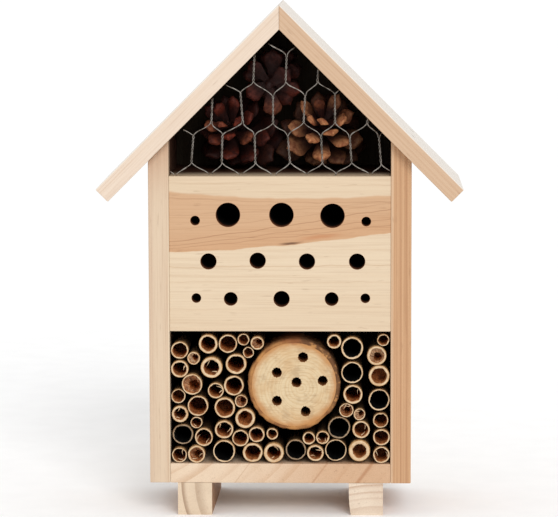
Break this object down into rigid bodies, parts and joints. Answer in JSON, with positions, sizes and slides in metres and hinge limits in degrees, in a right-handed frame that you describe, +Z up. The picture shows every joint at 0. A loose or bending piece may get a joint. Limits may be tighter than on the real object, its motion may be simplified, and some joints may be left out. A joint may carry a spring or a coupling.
{
  "type": "insect hotel",
  "caption": "Small gabled wooden insect hotel on two battens: pine cones behind hexagonal netting, a drilled block, and bamboo canes packed round a drilled log.",
  "frame": {"origin": "on the ground, under the middle of the roof in width and depth", "axes": "+Z up, -Y out of the front, +X to the right of someone facing the front"},
  "size_m": [0.2228, 0.093, 0.313],
  "materials": {
    "pale_pine": "planed, unfinished",
    "tan_pine": "planed, unfinished",
    "block_pine": "planed, unfinished",
    "plywood": "sanded, unfinished",
    "galvanised_wire": "galvanised",
    "log_wood": "sawn end grain",
    "bark": "rough",
    "nail_steel": "plain",
    "cone_scale": "dry scales",
    "bamboo": "cut ends"
  },
  "bodies": {
    "root": {"left_side_panel": "pale_pine", "bottom_board": "pale_pine", "left_roof_board": "pale_pine", "left_foot": "pale_pine", "right_foot": "pale_pine", "right_side_panel": "tan_pine", "right_roof_board": "tan_pine", "drilled_block": "block_pine", "back_panel": "plywood", "wire_netting": "galvanised_wire", "log_core": "log_wood", "log_bark": "bark", "side_nails": "nail_steel", "roof_nails": "nail_steel", "back_nails": "nail_steel", "foot_nails": "nail_steel", "pine_cone_01": "cone_scale", "pine_cone_02": "cone_scale", "pine_cone_03": "cone_scale", "cane_01": "bamboo", "cane_02": "bamboo", "cane_03": "bamboo", "cane_04": "bamboo", "cane_05": "bamboo", "cane_06": "bamboo", "cane_07": "bamboo", "cane_08": "bamboo", "cane_09": "bamboo", "cane_10": "bamboo", "cane_11": "bamboo", "cane_12": "bamboo", "cane_13": "bamboo", "cane_14": "bamboo", "cane_15": "bamboo", "cane_16": "bamboo", "cane_17": "bamboo", "cane_18": "bamboo", "cane_19": "bamboo", "cane_20": "bamboo", "cane_21": "bamboo", "cane_22": "bamboo", "cane_23": "bamboo", "cane_24": "bamboo", "cane_25": "bamboo", "cane_26": "bamboo", "cane_27": "bamboo", "cane_28": "bamboo", "cane_29": "bamboo", "cane_30": "bamboo", "cane_pair_01": "bamboo", "cane_pair_02": "bamboo", "cane_pair_03": "bamboo", "cane_pair_04": "bamboo", "cane_pair_05": "bamboo", "cane_pair_06": "bamboo", "cane_pair_07": "bamboo", "cane_pair_08": "bamboo", "cane_pair_09": "bamboo", "cane_pair_10": "bamboo", "cane_pair_11": "bamboo"}
  },
  "joints": []
}
